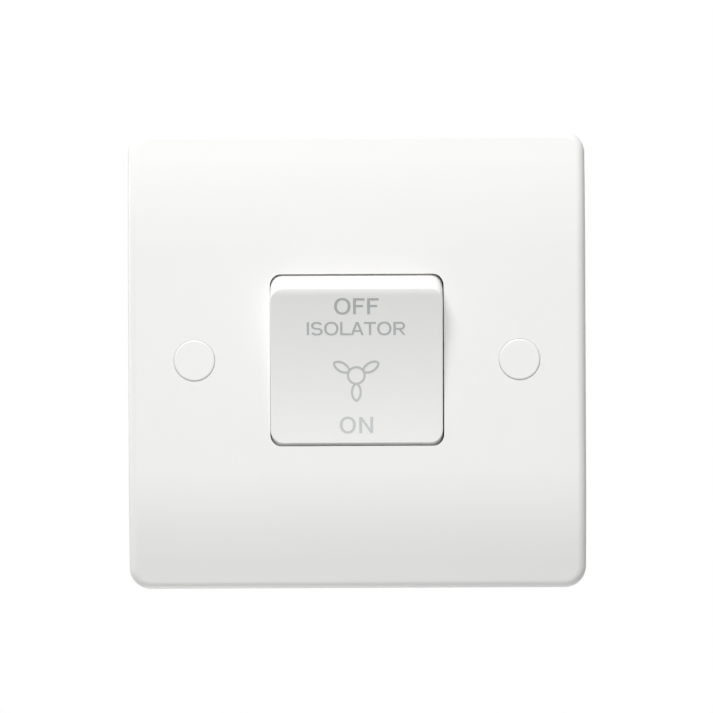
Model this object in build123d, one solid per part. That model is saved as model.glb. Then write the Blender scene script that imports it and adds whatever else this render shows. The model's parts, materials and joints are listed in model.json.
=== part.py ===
from build123d import *
import os
from math import acos, asin, cos, degrees, hypot, radians, sin

# A three-pole fan isolator switch: a square wall plate, a rocker, and the switch module behind them.
# Frame: X to the right, Z up, Y into the wall, origin at the plate's centre on the wall plane.
# The front faces -Y, and every piece is placed with the switch ON. Millimetres and degrees.

# Front plate
plate_width = 85.0
plate_height = 85.0
plate_depth = 9.0            # wall plane to the flat middle of the face
plate_corner = 4.0           # corners of the square outline
plate_edge_round = 1.6       # front edge all round
plate_wall = 2.2             # rim
plate_thickness = 2.6        # face
bow_curve = 15.0             # height over which the face curves back, above and below its flat band
bow_slope = 6.0              # height of the straight slope between that curve and the rim
bow_angle = 9.0              # slope of the face at the top and bottom rim
rib_thickness = 1.4
rib_height = 3.0
rib_offset = 29.0            # long stiffening ribs, above and below the centre
module_rib = 1.6             # rib frame that the switch module seats on

# Fixing screws and their caps
fixing_centres = 60.3
boss_radius = 5.2
boss_setback = 0.3           # bosses stop short of the wall plane
counterbore_radius = 3.5
counterbore_depth = 3.5
screw_hole_radius = 2.0
screw_radius = 1.75          # outside of the thread
screw_neck_radius = 1.45     # plain neck inside the plate
screw_head_radius = 3.3
screw_head_dome = 0.8
screw_reach = 20.5           # thread behind the wall plane
slot_width = 0.9
slot_depth = 0.8
cap_radius = 3.85
cap_proud = 0.15             # in front of the plate's face
cap_round = 0.35
cap_seat_depth = 0.35        # shallow seat round the counterbore
cap_seat_clearance = 0.02
cap_plug_length = 1.6
cap_plug_wall = 0.9
cap_plug_clearance = 0.1

# Rocker and its aperture
aperture_width = 32.25
aperture_height = 31.9
aperture_corner = 2.0
rocker_play_left = 0.06
rocker_play_right = 0.22
rocker_end_gap = 0.55        # between the edges of the rocker's face and the aperture's ends
rocker_proud = 0.2           # lower end of the face in front of the plate's face at ON
rocker_throw = 14.0          # from ON to OFF
rocker_reach = 9.4           # pivot axis to the chord of the rocker's face
rocker_dish = 0.8            # hollow of the face between its ends
crest_length = 1.25          # end of the face that rolls over softly at OFF
crest_radius = 6.0
rocker_corner = 2.3
rocker_edge_round = 0.2
rocker_wall = 1.8
rocker_face_wall = 2.0
skirt_cover = 1.5            # end wall left behind the plate's face when that end is out
web_thickness = 1.2
cheek_radius = 4.2
cheek_foot = 14.0            # height of the cheek where it leaves the side wall
trunnion_radius = 2.0
trunnion_length = 2.2
trunnion_clearance = 0.05
tongue_clearance = 0.15      # plate's tongue to the trunnion and to the cradle's sides

# Plungers in the rocker
pole_count = 3
pole_pitch = 10.5
plunger_radius = 1.55        # also the radius of its round nose
plunger_clearance = 0.06
plunger_length = 8.5         # shoulder to nose
plunger_reach = 9.0          # pivot axis to nose
spigot_radius = 0.75
spigot_length = 1.5
tube_radius = 2.5
tube_mouth = 4.0             # mouth of the tube behind the pivot axis
spring_length = 7.0
spring_radius = 1.2          # to the middle of the wire
spring_wire = 0.4
spring_turns = 6

# See-saw contacts
contact_slack = 0.05         # plunger nose to contact as the rocker passes its middle
contact_offset = 1.5         # contact face to its own axis
contact_swing = 19.4
contact_width = 5.0
contact_thickness = 1.0
contact_end_clearance = 0.8  # moving end to the terminals' inner faces
contact_tail = 8.0           # axis to the free end
contact_margin = 0.4         # strip left beyond a tip
knuckle_radius = 1.1
knuckle_clearance = 0.05
tip_radius = 1.5
tip_height = 1.0
tip_round = 0.25
tip_gap = 0.05               # between closed tips
strip_thickness = 0.8
strip_bend = 1.2             # to the middle of the strip
strip_overlap = 1.6          # fixed contact below its tip
trough_lip = 0.1             # trough edge behind the contact's axis

# Terminals
terminal_width = 7.6
terminal_length = 8.0
terminal_front_wall = 1.1
terminal_clearance = 0.1
terminal_chamfer = 0.4
cable_bore_setback = 0.5     # behind the axis of the see-saw contacts
cable_bore_radius = 2.1
cable_bore_depth = 7.0
clamp_thread = 3.7           # threaded wall behind the cable bore
clamp_radius = 1.75
clamp_clearance = 0.05
clamp_backed_out = 0.3       # screw tip behind the open cable bore
clamp_length = 4.8           # below the head
clamp_head_radius = 2.75
clamp_head_height = 1.8
clamp_head_round = 0.3
strip_tail_setback = 0.4

# Rocker frame, which carries the rocker, and the switch base snapped on behind it
base_front = -5.0
base_floor = 1.8
base_end_wall = 1.6
base_corner = 2.0
base_rear_round = 0.6
base_side_clearance = 0.2    # beyond the aperture's width
rocker_swing_clearance = 1.15
trunnion_end_clearance = 0.3
ledge_thickness = 1.6        # ledges of the frame in front of the terminals
ledge_reach = 3.0
ledge_clearance = 0.1
clip_offset = 8.0            # snap arms above and below the pivot
clip_width = 5.0
clip_thickness = 1.3
clip_clearance = 0.1
clip_root = 3.5              # arm in front of the seam
clip_reach = 6.0             # arm behind the seam
clip_bar = 1.4               # around the arm's window
catch_length = 2.2
catch_height = 1.0
cell_width = 7.9
notch_width = 6.4
notch_clearance = 0.6        # from the seam to the cable bore
panel_depth = 0.5            # shallow recess of the base's rear, between the rows of screws
panel_margin = 2.5
panel_corner = 1.5
stop_height = 5.6
stop_thickness = 1.1
stop_side_clearance = 0.3
pedestal_width = 4.0
pedestal_height = 2.6
ear_offset_x = 3.4           # beyond the base's side
ear_offset_z = 16.5
ear_radius = 3.6
ear_thickness = 2.2
post_radius = 3.0
pilot_radius = 1.2
pilot_beyond = 1.0           # pilot hole into the plate's face
base_screw_radius = 1.15
base_screw_hole = 1.5
base_screw_head_radius = 2.6
base_screw_head_height = 1.8
base_screw_head_round = 0.6
base_screw_tip_clearance = 0.4

# Plate places
plate_face = -plate_depth
plate_inner = plate_face + plate_thickness
cap_seat = plate_face + cap_seat_depth
flat_half = plate_height / 2 - bow_curve - bow_slope
embed = plate_thickness / 2  # how far ribs, bosses and posts run into the face

# Rocker geometry about its pivot axis
half_throw = rocker_throw / 2
throw_sin = sin(radians(half_throw))
throw_cos = cos(radians(half_throw))
half_chord = (aperture_height / 2 - rocker_end_gap - rocker_reach * throw_sin) / throw_cos
pivot_y = plate_face - rocker_proud + rocker_reach * throw_cos - half_chord * throw_sin
rocker_radius = hypot(half_chord, rocker_reach)
aperture_radius = hypot(aperture_height / 2, pivot_y - plate_face)
rocker_width = aperture_width - rocker_play_left - rocker_play_right
rocker_shift = (rocker_play_left - rocker_play_right) / 2
skirt_raised = pivot_y - plate_inner - skirt_cover
skirt_rear = -rocker_radius * cos(acos(skirt_raised / rocker_radius) + radians(half_throw))
rocker_pose = Pos(rocker_shift, pivot_y, 0) * Rot(half_throw, 0, 0)
pole_places = [(number - (pole_count - 1) / 2) * pole_pitch for number in range(pole_count)]

# Plunger places along its own axis, from the pivot
plunger_shoulder = plunger_reach - plunger_length
spring_seat = plunger_shoulder - spring_length

# Terminal rows, clear of the rocker's sweep
base_inner_z = rocker_radius + rocker_swing_clearance
base_half_z = base_inner_z + base_end_wall
terminal_outer = base_inner_z - terminal_clearance
terminal_inner = terminal_outer - terminal_length
terminal_middle = (terminal_outer + terminal_inner) / 2

# See-saw places
contact_y = pivot_y + plunger_reach + contact_slack + contact_offset
contact_face = -contact_offset
contact_back = contact_face + contact_thickness
contact_end = terminal_inner - contact_end_clearance
contact_arm = contact_end - contact_margin - tip_radius
fixed_tip_face = contact_back + tip_height + tip_gap
fixed_strip_face = fixed_tip_face + tip_height
contact_pose = Pos(0, contact_y, 0) * Rot(-contact_swing / 2, 0, 0)
trough_inner = knuckle_radius + knuckle_clearance
trough_outer = trough_inner + strip_thickness

# Terminal and base places
base_inner_x = aperture_width / 2 + base_side_clearance
base_half_x = base_inner_x + trunnion_length + trunnion_end_clearance
cable_bore_y = contact_y + cable_bore_setback
terminal_front = cable_bore_y - cable_bore_radius - terminal_front_wall
terminal_rear = cable_bore_y + cable_bore_radius + clamp_thread
base_rear = terminal_rear + base_floor
seam_y = cable_bore_y - cable_bore_radius - notch_clearance
window_front = seam_y + clip_bar
window_rear = seam_y + clip_reach - clip_bar
clip_low = base_half_x + clip_clearance
clip_places = [(side, end * clip_offset) for side in (-1, 1) for end in (-1, 1)]
ear_x = base_half_x + ear_offset_x
ear_places = [(side * ear_x, end * ear_offset_z) for side in (-1, 1) for end in (-1, 1)]
fixing_places = [-fixing_centres / 2, fixing_centres / 2]


# Shapes used by several pieces

def block(x, y, z):
    """A box between the low and high limits given for each axis."""
    limits = (x, y, z)
    size = [high - low for low, high in limits]
    centre = [(high + low) / 2 for low, high in limits]
    return Pos(*centre) * Box(*size)


def span(half):
    """Limits of a length centred on zero."""
    return (-half, half)


def rod(radius, y, x=0.0, z=0.0):
    """A round bar along Y between two limits."""
    return Pos(x, (y[0] + y[1]) / 2, z) * Rot(90, 0, 0) * Cylinder(radius, y[1] - y[0])


def cross_rod(radius, length):
    """A round bar along X, centred."""
    return Rot(0, 90, 0) * Cylinder(radius, length)


def drum(radius, width, rounding):
    """A disc about the X axis with rounded rims: the sweep of the rocker's end faces."""
    disc = cross_rod(radius, width)
    return fillet(disc.edges().filter_by(GeomType.CIRCLE), rounding)


def turned(*lines):
    """A piece turned about the Y axis, from its half section with radius along X."""
    return revolve(make_face(lines), Axis.Y)


def folded_strip(points, thickness, width):
    """A bent metal strip: its centre line in Y and Z with round bends, given thickness and width."""
    line = FilletPolyline(*points, radius=strip_bend)
    return extrude(Plane.YZ * trace(line, thickness), width / 2, both=True)


def in_contact_frame(y, z):
    """Y and Z of a point given along and across a closed see-saw contact."""
    place = contact_pose * Pos(0, y, z)
    return (place.position.Y, place.position.Z)


def lower_row(piece):
    """The same piece, turned half round for the row below the rocker."""
    return Rot(0, 180, 0) * piece


# Front plate

def behind_bow(inset):
    """All that lies behind the face set back by inset: flat, then an arc, then a slope."""
    radius = bow_curve / sin(radians(bow_angle)) - inset
    front = plate_face + inset
    flat = Line((front, 0), (front, flat_half))
    curve = JernArc(flat @ 1, (0, 1), radius, -bow_angle)
    slope = PolarLine(curve @ 1, 2 * bow_slope, direction=curve % 1)
    rear = Polyline(slope @ 1, (plate_depth, (slope @ 1).Y), (plate_depth, 0), flat @ 0)
    upper = make_face([flat, curve, slope, rear])
    return extrude(Plane.YZ * (upper + mirror(upper, Plane.XZ)), plate_width, both=True)


def outline(inset):
    """The plate's square outline carried forward from the wall plane."""
    shape = RectangleRounded(plate_width - 2 * inset, plate_height - 2 * inset, plate_corner - inset)
    return extrude(Plane.XZ * shape, plate_depth)


def is_front_edge(edge):
    """True for the edges where the face meets the rim."""
    middle = edge.center()
    at_side = abs(middle.X) > plate_width / 2 - plate_corner
    at_end = abs(middle.Z) > plate_height / 2 - plate_corner
    return middle.Y < plate_face / 2 and (at_side or at_end)


def make_front_plate():
    plate = outline(0) & behind_bow(0)
    rim = plate.edges().filter_by(Axis.Y, reverse=True).filter_by(is_front_edge)
    plate = fillet(rim, plate_edge_round)
    plate -= outline(plate_wall) & behind_bow(plate_thickness)

    # Rib frame and long ribs on the back of the face
    root = plate_inner - embed
    seat = (root, base_front)
    frame = block(span(base_half_x), seat, span(base_half_z))
    frame -= block(span(base_half_x - module_rib), seat, span(base_half_z - module_rib))
    plate += frame
    for end in (-1, 1):
        rib_z = (end * rib_offset - rib_thickness / 2, end * rib_offset + rib_thickness / 2)
        plate += block(span(plate_width / 2 - embed), (root, plate_inner + rib_height), rib_z)

    # Tongues that close the rocker's pivot cradles
    tongue_end = pivot_y - trunnion_radius - tongue_clearance
    tongue_half = trunnion_radius + trunnion_clearance - tongue_clearance
    tongue_low = base_inner_x + base_side_clearance
    for side in (-1, 1):
        tongue_x = sorted((side * tongue_low, side * base_half_x))
        plate += block(tongue_x, (root, tongue_end), span(tongue_half))

    # Posts for the switch base, with pilot holes
    for x, z in ear_places:
        plate += rod(post_radius, seat, x, z)
        plate -= rod(pilot_radius, (plate_inner - pilot_beyond, base_front), x, z)

    # Bosses for the fixing screws, with a web to the rim
    sink = plate_face + counterbore_depth
    cone = counterbore_radius - screw_hole_radius
    seat_radius = cap_radius + cap_seat_clearance
    for x in fixing_places:
        plate += rod(boss_radius, (root, -boss_setback), x)
        side = 1 if x > 0 else -1
        web_x = sorted((x + side * counterbore_radius, side * (plate_width / 2 - plate_wall / 2)))
        plate += block(web_x, (root, plate_inner + rib_height), span(rib_thickness / 2))
    for x in fixing_places:
        hole = Polyline(
            (0, plate_face - embed), (seat_radius, plate_face - embed), (seat_radius, cap_seat),
            (counterbore_radius, cap_seat), (counterbore_radius, sink), (screw_hole_radius, sink + cone),
            (screw_hole_radius, embed), (0, embed), (0, plate_face - embed))
        plate -= Pos(x, 0, 0) * turned(hole)

    # Aperture, open just wider than the rocker's own sweep
    plate -= Pos(0, pivot_y, 0) * drum(aperture_radius, aperture_width, aperture_corner)
    return plate


# Caps and fixing screws

def make_screw_cap():
    plug_outer = counterbore_radius - cap_plug_clearance
    plug_inner = plug_outer - cap_plug_wall
    plug_end = cap_seat + cap_plug_length
    front = plate_face - cap_proud
    section = Polyline(
        (0, front), (cap_radius, front), (cap_radius, cap_seat), (plug_outer, cap_seat),
        (plug_outer, plug_end), (plug_inner, plug_end), (plug_inner, cap_seat), (0, cap_seat), (0, front))
    cap = turned(section)
    rim = cap.edges().filter_by(GeomType.CIRCLE).sort_by(Axis.Y)[0]
    return fillet(rim, cap_round)


def make_fixing_screw():
    rim_y = plate_face + counterbore_depth + counterbore_radius - screw_head_radius
    dome_y = rim_y - screw_head_dome
    neck_y = rim_y + screw_head_radius - screw_neck_radius
    tip = screw_radius / 2
    dome_radius = (screw_head_radius**2 + screw_head_dome**2) / (2 * screw_head_dome)
    dome = RadiusArc((0, dome_y), (screw_head_radius, rim_y), dome_radius)
    body = Polyline(
        (screw_head_radius, rim_y), (screw_neck_radius, neck_y), (screw_neck_radius, 0),
        (screw_radius, 0), (screw_radius, screw_reach - tip), (screw_radius - tip, screw_reach),
        (0, screw_reach), (0, dome_y))
    screw = turned(dome, body)
    screw -= block(span(slot_width / 2), (dome_y, dome_y + slot_depth), span(screw_head_radius))
    return screw


# Rocker, plungers and springs, made about the pivot axis and then turned to ON

def make_rocker():
    dish_radius = (half_chord**2 + rocker_dish**2) / (2 * rocker_dish)
    face_middle = rocker_dish - rocker_reach
    dish_centre = Pos(0, face_middle - dish_radius, 0)
    shell = drum(rocker_radius, rocker_width, rocker_corner)
    shell -= dish_centre * cross_rod(dish_radius, 2 * rocker_width)
    shell -= block(span(rocker_width), (skirt_rear, 2 * rocker_radius), span(2 * rocker_radius))

    # Crest: from its start the face follows a smaller circle backwards, up to the OFF end
    lean = degrees(asin((half_chord - crest_length) / dish_radius))
    crest_start = dish_centre * Rot(lean, 0, 0) * Pos(0, dish_radius, 0)
    crest = block(span(rocker_width), span(crest_radius), (0, crest_radius))
    crest -= Pos(0, crest_radius, 0) * cross_rod(crest_radius, 2 * rocker_width)
    shell -= crest_start * crest

    # Rounded edge round the face, which is the dish and the crest without the line between them
    seam_z = crest_start.position.Z
    front = shell.faces().sort_by(Axis.Y)[:2].edges()
    rim = front.filter_by(lambda edge: abs(edge.center().Z - seam_z) > rocker_edge_round / 10)
    shell = fillet(rim, rocker_edge_round)

    # Hollow back
    inner_half = rocker_width / 2 - rocker_wall
    inner_face = face_middle + rocker_face_wall
    hollow = cross_rod(rocker_radius - rocker_wall, 2 * inner_half)
    hollow &= block(span(rocker_width), (inner_face, rocker_radius), span(rocker_radius))
    shell -= hollow

    # Cheeks that carry the trunnions
    foot = Pos(skirt_rear - rocker_wall, 0) * Rectangle(2 * rocker_wall, cheek_foot)
    cheek = make_hull(foot.edges() + Circle(cheek_radius).edges())
    for side in (-1, 1):
        shell += extrude(Plane.YZ.offset(side * inner_half) * cheek, side * rocker_wall)
        place = Pos(side * (rocker_width + trunnion_length) / 2, 0, 0)
        shell += place * cross_rod(trunnion_radius, trunnion_length)

    # Web and plunger tubes
    root = inner_face - rocker_face_wall / 2
    shell += block(span(inner_half), (root, skirt_rear), span(web_thickness / 2))
    bore = plunger_radius + plunger_clearance
    for x in pole_places:
        shell += rod(tube_radius, (root, tube_mouth), x)
        shell -= rod(bore, (spring_seat, tube_mouth), x)
    return rocker_pose * shell


def make_plunger():
    nose_start = plunger_reach - plunger_radius
    spigot_end = plunger_shoulder - spigot_length
    body = Polyline(
        (0, plunger_reach), (0, spigot_end), (spigot_radius, spigot_end),
        (spigot_radius, plunger_shoulder), (plunger_radius, plunger_shoulder),
        (plunger_radius, nose_start))
    nose = RadiusArc(body @ 1, body @ 0, -plunger_radius)
    return rocker_pose * turned(body, nose)


def make_plunger_spring():
    height = spring_length - spring_wire
    start = (0, spring_seat + spring_wire / 2, 0)
    coil = Helix(height / spring_turns, height, spring_radius, center=start, direction=(0, 1, 0))
    section = Plane(origin=coil @ 0, z_dir=coil % 0) * Circle(spring_wire / 2)
    return rocker_pose * sweep(section, coil, is_frenet=True)


# See-saw contacts, made about their own axis and then turned to ON

def make_rocking_contact():
    strip = block(span(contact_width / 2), (contact_face, contact_back), (-contact_tail, contact_end))
    strip += cross_rod(knuckle_radius, contact_width)
    return contact_pose * strip


def contact_tip(face, seat):
    """A silver button between its contact face and its seat, with a rounded face edge."""
    button = rod(tip_radius, sorted((face, seat)), 0, contact_arm)
    rims = button.edges().filter_by(GeomType.CIRCLE).sort_by(Axis.Y)
    rim = rims[0] if face < seat else rims[-1]
    return fillet(rim, tip_round)


def make_moving_tip():
    return contact_pose * contact_tip(contact_back + tip_height, contact_back)


def make_fixed_tip():
    return contact_pose * contact_tip(fixed_tip_face, fixed_strip_face)


def make_fixed_contact():
    middle = fixed_strip_face + strip_thickness / 2
    tail_z = terminal_inner - strip_thickness / 2
    start = in_contact_frame(middle, contact_arm - tip_radius - strip_overlap)
    above = in_contact_frame(middle, contact_arm)
    rise = (tail_z - start[1]) / (above[1] - start[1])
    corner = (start[0] + rise * (above[0] - start[0]), tail_z)
    end = (terminal_rear - strip_tail_setback, tail_z)
    return folded_strip([start, corner, end], strip_thickness, contact_width)


def make_contact_cradle():
    middle = contact_y + trough_inner + strip_thickness / 2
    tail_z = strip_thickness / 2 - terminal_inner
    end = (terminal_rear - strip_tail_setback, tail_z)
    strip = folded_strip([(middle, 0), (middle, tail_z), end], strip_thickness, contact_width)
    trough = cross_rod(trough_outer, contact_width) - cross_rod(trough_inner, contact_width)
    trough &= block(span(contact_width), (trough_lip, trough_outer), span(trough_outer))
    return strip + Pos(0, contact_y, 0) * trough


# Terminals of the upper row

def make_terminal():
    depth = (terminal_front, terminal_rear)
    brass = block(span(terminal_width / 2), depth, (terminal_inner, terminal_outer))
    brass = chamfer(brass.edges().filter_by(Axis.Y), terminal_chamfer)
    bore = Cylinder(cable_bore_radius, cable_bore_depth)
    brass -= Pos(0, cable_bore_y, terminal_outer - cable_bore_depth / 2) * bore
    brass -= rod(clamp_radius + clamp_clearance, (cable_bore_y, terminal_rear), 0, terminal_middle)
    return brass


def make_terminal_screw():
    tip_y = cable_bore_y + cable_bore_radius + clamp_backed_out
    head_y = tip_y + clamp_length
    top_y = head_y + clamp_head_height
    point = clamp_radius / 3
    screw = turned(Polyline(
        (0, tip_y), (clamp_radius - point, tip_y), (clamp_radius, tip_y + point), (clamp_radius, head_y),
        (clamp_head_radius, head_y), (clamp_head_radius, top_y), (0, top_y), (0, tip_y)))
    screw = fillet(screw.edges().filter_by(GeomType.CIRCLE).sort_by(Axis.Y)[-1], clamp_head_round)
    screw -= block(span(slot_width / 2), (top_y - slot_depth, top_y), span(clamp_head_radius))
    return Pos(0, 0, terminal_middle) * screw


# Rocker frame, switch base and their screws

def housing(y, corner):
    """A solid length of the module's outline, with round corners."""
    outside = block(span(base_half_x), y, span(base_half_z))
    return fillet(outside.edges().filter_by(Axis.Y), corner)


def make_rocker_frame():
    depth = (base_front, seam_y)
    frame = housing(depth, base_corner) - block(span(base_inner_x), depth, span(base_inner_z))

    # Open cradles for the trunnions
    cradle = trunnion_radius + trunnion_clearance
    frame -= block(span(base_half_x), (base_front, pivot_y), span(cradle))
    frame -= Pos(0, pivot_y, 0) * cross_rod(cradle, 2 * base_half_x)

    # Ledges that keep the terminals in their cells
    ledge_rear = terminal_front - ledge_clearance
    for end in (-1, 1):
        ledge_z = sorted((end * (base_inner_z - ledge_reach), end * base_inner_z))
        frame += block(span(base_inner_x), (ledge_rear - ledge_thickness, ledge_rear), ledge_z)

    # Ears for the base screws
    ear_y = (base_front, base_front + ear_thickness)
    for x, z in ear_places:
        inner = base_inner_x if x > 0 else -base_inner_x
        frame += block(sorted((inner, x)), ear_y, (z - ear_radius, z + ear_radius))
        frame += rod(ear_radius, ear_y, x, z)
    for x, z in ear_places:
        frame -= rod(base_screw_hole, ear_y, x, z)

    # Snap arms, each with a window for a catch of the base
    for side, z in clip_places:
        arm_x = sorted((side * clip_low, side * (clip_low + clip_thickness)))
        root_x = sorted((side * base_inner_x, side * clip_low))
        arm_z = (z - clip_width / 2, z + clip_width / 2)
        window_z = (arm_z[0] + clip_bar, arm_z[1] - clip_bar)
        frame += block(root_x, (seam_y - clip_root, seam_y), arm_z)
        frame += block(arm_x, (seam_y - clip_root, seam_y + clip_reach), arm_z)
        frame -= block(arm_x, (window_front, window_rear), window_z)
    return frame


def make_switch_base():
    base = housing((seam_y, base_rear), base_corner)
    base = fillet(base.faces().sort_by(Axis.Y)[-1].edges(), base_rear_round)
    for x in pole_places:
        cell_x = (x - cell_width / 2, x + cell_width / 2)
        base -= block(cell_x, (seam_y, terminal_rear), span(base_inner_z))

    # Notches for the cables and the clamp screws, open at the rear
    for x in pole_places:
        notch_x = (x - notch_width / 2, x + notch_width / 2)
        notch = block(notch_x, (seam_y, base_rear), (terminal_middle, base_half_z))
        notch += rod(notch_width / 2, (terminal_rear, base_rear), x, terminal_middle)
        base -= notch
        base -= lower_row(notch)

    # Stops beside the strips that hold the terminals, and pedestals behind the contacts
    stop_low = contact_width / 2 + stop_side_clearance
    stop_z = (terminal_inner - terminal_clearance - stop_thickness, terminal_inner - terminal_clearance)
    pad = block(
        span(pedestal_width / 2), (fixed_strip_face + strip_thickness, terminal_rear - contact_y),
        (contact_arm - pedestal_height / 2, contact_arm + pedestal_height / 2))
    for x in pole_places:
        for side in (-1, 1):
            stop_x = sorted((x + side * stop_low, x + side * cell_width / 2))
            stop = block(stop_x, (terminal_rear - stop_height, terminal_rear), stop_z)
            base += stop
            base += lower_row(stop)
        base += Pos(x, 0, 0) * contact_pose * pad
        pedestal_x = (x - pedestal_width / 2, x + pedestal_width / 2)
        base += block(pedestal_x, (contact_y + trough_outer, terminal_rear), span(pedestal_height / 2))

    # Recess between the two rows of clamp screws
    panel_half_x = base_half_x - panel_margin
    panel_half_z = terminal_middle - notch_width / 2 - panel_margin
    panel = RectangleRounded(2 * panel_half_x, 2 * panel_half_z, panel_corner)
    base -= extrude(Plane.XZ.offset(-base_rear) * panel, panel_depth)

    # Catches, sloped at the front, that snap into the windows of the arms
    catch_rear = window_rear - clip_clearance
    for side, z in clip_places:
        foot = side * base_half_x
        crest = side * (base_half_x + catch_height)
        wedge = make_face(Polyline(
            (foot, catch_rear - catch_length), (crest, catch_rear), (foot, catch_rear),
            (foot, catch_rear - catch_length)))
        base += extrude(Plane.XY.offset(z) * wedge, clip_width / 2 - clip_bar - clip_clearance, both=True)
    return base


def make_base_screw():
    head_y = base_front + ear_thickness
    top_y = head_y + base_screw_head_height
    tip_y = plate_inner - pilot_beyond + base_screw_tip_clearance
    screw = turned(Polyline(
        (0, tip_y), (base_screw_radius, tip_y + base_screw_radius), (base_screw_radius, head_y),
        (base_screw_head_radius, head_y), (base_screw_head_radius, top_y), (0, top_y), (0, tip_y)))
    screw = fillet(screw.edges().filter_by(GeomType.CIRCLE).sort_by(Axis.Y)[-1], base_screw_head_round)
    for turn in (0, 90):
        cross = block(span(slot_width / 2), (top_y - slot_depth, top_y), span(base_screw_head_radius / 2))
        screw -= Rot(0, turn, 0) * cross
    return screw


# Files, one for each named piece

os.makedirs("parts", exist_ok=True)


def save(name, piece):
    export_step(piece, os.path.join("parts", name + ".step"))


def save_group(name, pieces):
    save(name, Compound(children=pieces))


save("front_plate", make_front_plate())
save("rocker", make_rocker())
save("rocker_frame", make_rocker_frame())
save("switch_base", make_switch_base())

for name, x in zip(("screw_cap_left", "screw_cap_right"), fixing_places):
    save(name, Pos(x, 0, 0) * make_screw_cap())
save_group("fixing_screws", [Pos(x, 0, 0) * make_fixing_screw() for x in fixing_places])
save_group("base_screws", [Pos(x, 0, z) * make_base_screw() for x, z in ear_places])

pole_pieces = {
    "plunger": make_plunger(),
    "plunger_spring": make_plunger_spring(),
    "rocking_contact": make_rocking_contact(),
    "moving_tip": make_moving_tip(),
    "fixed_tip": make_fixed_tip(),
    "fixed_contact": make_fixed_contact(),
    "contact_cradle": make_contact_cradle(),
    "fan_terminal": make_terminal(),
    "supply_terminal": lower_row(make_terminal()),
}
for name, piece in pole_pieces.items():
    for number, x in enumerate(pole_places, start=1):
        save(f"{name}_{number}", Pos(x, 0, 0) * piece)

clamp_screw = make_terminal_screw()
clamp_row = [Pos(x, 0, 0) * clamp_screw for x in pole_places]
clamp_row += [Pos(x, 0, 0) * lower_row(clamp_screw) for x in pole_places]
save_group("terminal_screws", clamp_row)
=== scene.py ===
import json
from math import cos, radians, sin, tau

import bpy
import numpy as np
from bpy.props import FloatProperty, FloatVectorProperty, IntProperty, PointerProperty
from bpy.types import NodeSocket, Operator, Panel, PropertyGroup
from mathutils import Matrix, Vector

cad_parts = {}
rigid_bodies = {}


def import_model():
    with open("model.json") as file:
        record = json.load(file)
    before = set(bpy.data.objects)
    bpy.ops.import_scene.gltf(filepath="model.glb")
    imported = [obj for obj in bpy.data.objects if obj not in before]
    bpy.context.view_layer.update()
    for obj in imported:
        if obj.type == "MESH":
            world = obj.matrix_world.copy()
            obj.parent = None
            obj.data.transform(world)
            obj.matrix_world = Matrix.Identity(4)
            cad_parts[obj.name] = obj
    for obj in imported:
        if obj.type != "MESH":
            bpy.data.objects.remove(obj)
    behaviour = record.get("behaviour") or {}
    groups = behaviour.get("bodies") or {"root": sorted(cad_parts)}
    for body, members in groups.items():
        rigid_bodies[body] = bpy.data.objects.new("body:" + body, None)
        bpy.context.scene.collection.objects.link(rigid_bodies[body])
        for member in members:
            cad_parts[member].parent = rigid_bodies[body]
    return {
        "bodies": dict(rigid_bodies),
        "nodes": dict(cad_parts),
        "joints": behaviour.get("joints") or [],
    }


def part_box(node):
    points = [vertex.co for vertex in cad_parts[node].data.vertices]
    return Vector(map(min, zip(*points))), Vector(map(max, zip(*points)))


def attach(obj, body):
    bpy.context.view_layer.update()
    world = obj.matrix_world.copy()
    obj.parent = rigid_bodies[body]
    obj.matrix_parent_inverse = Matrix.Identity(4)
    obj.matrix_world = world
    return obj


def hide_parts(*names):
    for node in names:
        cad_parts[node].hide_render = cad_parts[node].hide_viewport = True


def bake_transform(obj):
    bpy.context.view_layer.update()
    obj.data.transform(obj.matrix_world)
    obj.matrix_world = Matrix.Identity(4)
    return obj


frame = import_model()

bl_info = {
    "name": "Fan isolator switch",
    "version": (1, 0, 0),
    "blender": (4, 5, 0),
    "location": "View3D > Sidebar > Switch",
    "description": "Dresses the packed switch: mouldings, metal, springs, print, screw threads and a studio",
    "category": "Object",
}

MM = 0.001
POLES = (1, 2, 3)


def clear_start_up():
    """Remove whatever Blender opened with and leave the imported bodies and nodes."""
    kept = set(frame["bodies"].values()) | set(frame["nodes"].values())
    for item in list(bpy.data.objects):
        if item not in kept:
            bpy.data.objects.remove(item)


clear_start_up()
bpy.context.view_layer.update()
JOINTS = {joint["name"]: joint for joint in frame["joints"]}
PIVOT = JOINTS["rocker_pivot"]


# Settings

def colour(name, description, value):
    """A colour setting."""
    return FloatVectorProperty(
        name=name, description=description, subtype="COLOR", size=3, min=0.0, max=1.0, default=value)


def length(name, description, value):
    """A length setting, given in millimetres and kept in metres."""
    return FloatProperty(
        name=name, description=description, unit="LENGTH", precision=5, min=0.0, default=value * MM)


def position(name, description, value):
    """A place in metres."""
    return FloatVectorProperty(
        name=name, description=description, subtype="TRANSLATION", unit="LENGTH", size=3, default=value)


def power(name, description, value):
    """The power of a lamp in watts."""
    return FloatProperty(name=name, description=description, unit="POWER", min=0.0, default=value)


def share(name, description, value):
    """A setting between nought and one."""
    return FloatProperty(
        name=name, description=description, subtype="FACTOR", min=0.0, max=1.0, default=value)


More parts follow.
